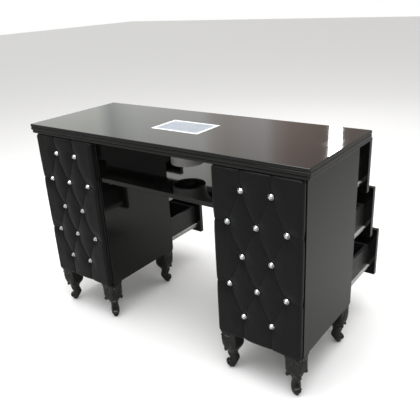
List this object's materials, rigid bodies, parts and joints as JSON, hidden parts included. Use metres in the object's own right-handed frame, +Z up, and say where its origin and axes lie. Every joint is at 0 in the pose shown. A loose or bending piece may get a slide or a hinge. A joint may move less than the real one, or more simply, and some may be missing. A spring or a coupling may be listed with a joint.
{
  "type": "manicure table",
  "caption": "Manicure table with a dust extractor in its glossy worktop, two tufted pedestals with crystal buttons, open drawers at the back and carved cabriole legs.",
  "frame": {"origin": "on the floor, under the middle of the whole outline with the drawers standing open as at rest", "axes": "+X along the worktop, +Y towards the technician's side where the drawers open, +Z up"},
  "size_m": [1.2, 0.689, 0.8],
  "materials": {
    "gloss_black_lacquer": "high-gloss black lacquer on fibreboard",
    "black_board": "satin black melamine on board",
    "carved_black_lacquer": "carved wood in glossy black lacquer",
    "black_leather": "soft satin black leatherette over foam, button tufted",
    "crystal": "clear faceted crystal",
    "runner_enamel": "black epoxy-coated steel",
    "white_trim": "smooth white plastic",
    "grille_aluminium": "pale satin anodised, finely slotted",
    "filter_fleece": "white non-woven filter fleece",
    "white_plastic": "white moulded plastic",
    "black_plastic": "black moulded plastic",
    "zinc_steel": "zinc-plated steel"
  },
  "bodies": {
    "table": {"backing_boards": "black_board", "cabinet_runners": "runner_enamel", "crystal_buttons": "crystal", "edge_frame": "gloss_black_lacquer", "fan_funnel": "white_plastic", "fan_guard": "black_plastic", "fan_housing": "white_plastic", "fan_motor": "black_plastic", "knee_shelf": "gloss_black_lacquer", "left_bottom_panel": "black_board", "left_front_inner_leg": "carved_black_lacquer", "left_front_outer_leg": "carved_black_lacquer", "left_inner_side": "gloss_black_lacquer", "left_outer_side": "gloss_black_lacquer", "left_rear_inner_leg": "carved_black_lacquer", "left_rear_outer_leg": "carved_black_lacquer", "left_tufted_pad": "black_leather", "leg_bolts": "zinc_steel", "pedestal_top_rails": "black_board", "right_bottom_panel": "black_board", "right_front_inner_leg": "carved_black_lacquer", "right_front_outer_leg": "carved_black_lacquer", "right_inner_side": "gloss_black_lacquer", "right_outer_side": "gloss_black_lacquer", "right_rear_inner_leg": "carved_black_lacquer", "right_rear_outer_leg": "carved_black_lacquer", "right_tufted_pad": "black_leather", "shelf_brackets": "zinc_steel", "shelf_screws": "zinc_steel", "switch_box": "black_plastic", "vent_filter": "filter_fleece", "vent_frame": "white_trim", "worktop_panel": "gloss_black_lacquer"},
    "left_bottom_drawer": {"left_bottom_drawer_front": "gloss_black_lacquer", "left_bottom_drawer_box": "black_board", "left_bottom_drawer_runners": "runner_enamel", "left_bottom_drawer_knob": "crystal"},
    "left_middle_drawer": {"left_middle_drawer_front": "gloss_black_lacquer", "left_middle_drawer_box": "black_board", "left_middle_drawer_runners": "runner_enamel", "left_middle_drawer_knob": "crystal"},
    "left_top_drawer": {"left_top_drawer_front": "gloss_black_lacquer", "left_top_drawer_box": "black_board", "left_top_drawer_runners": "runner_enamel", "left_top_drawer_knob": "crystal"},
    "right_bottom_drawer": {"right_bottom_drawer_front": "gloss_black_lacquer", "right_bottom_drawer_box": "black_board", "right_bottom_drawer_runners": "runner_enamel", "right_bottom_drawer_knob": "crystal"},
    "right_middle_drawer": {"right_middle_drawer_front": "gloss_black_lacquer", "right_middle_drawer_box": "black_board", "right_middle_drawer_runners": "runner_enamel", "right_middle_drawer_knob": "crystal"},
    "right_top_drawer": {"right_top_drawer_front": "gloss_black_lacquer", "right_top_drawer_box": "black_board", "right_top_drawer_runners": "runner_enamel", "right_top_drawer_knob": "crystal"},
    "grille": {"vent_grille": "grille_aluminium"},
    "impeller": {"fan_impeller": "black_plastic"},
    "rocker": {"switch_rocker": "black_plastic"}
  },
  "joints": [
    {"name": "left_bottom_drawer_slide", "type": "slide", "parent": "table", "child": "left_bottom_drawer", "axis": [0, 1, 0], "range_m": [-0.209, 0.053]},
    {"name": "left_middle_drawer_slide", "type": "slide", "parent": "table", "child": "left_middle_drawer", "axis": [0, 1, 0], "range_m": [-0.15, 0.112]},
    {"name": "left_top_drawer_slide", "type": "slide", "parent": "table", "child": "left_top_drawer", "axis": [0, 1, 0], "range_m": [-0.09, 0.172]},
    {"name": "right_bottom_drawer_slide", "type": "slide", "parent": "table", "child": "right_bottom_drawer", "axis": [0, 1, 0], "range_m": [-0.239, 0.023]},
    {"name": "right_middle_drawer_slide", "type": "slide", "parent": "table", "child": "right_middle_drawer", "axis": [0, 1, 0], "range_m": [-0.16, 0.102]},
    {"name": "right_top_drawer_slide", "type": "slide", "parent": "table", "child": "right_top_drawer", "axis": [0, 1, 0], "range_m": [-0.09, 0.172]},
    {"name": "grille_lift", "type": "slide", "parent": "table", "child": "grille", "axis": [0, 0, 1], "range_m": [0, 0.03]},
    {"name": "fan_spin", "type": "hinge", "parent": "table", "child": "impeller", "pos_m": [0, -0.1195, 0.688], "axis": [0, 0, 1], "continuous": true},
    {"name": "rocker_tilt", "type": "hinge", "parent": "table", "child": "rocker", "pos_m": [-0.213, -0.0215, 0.75], "axis": [1, 0, 0], "range_deg": [0, 16]}
  ]
}
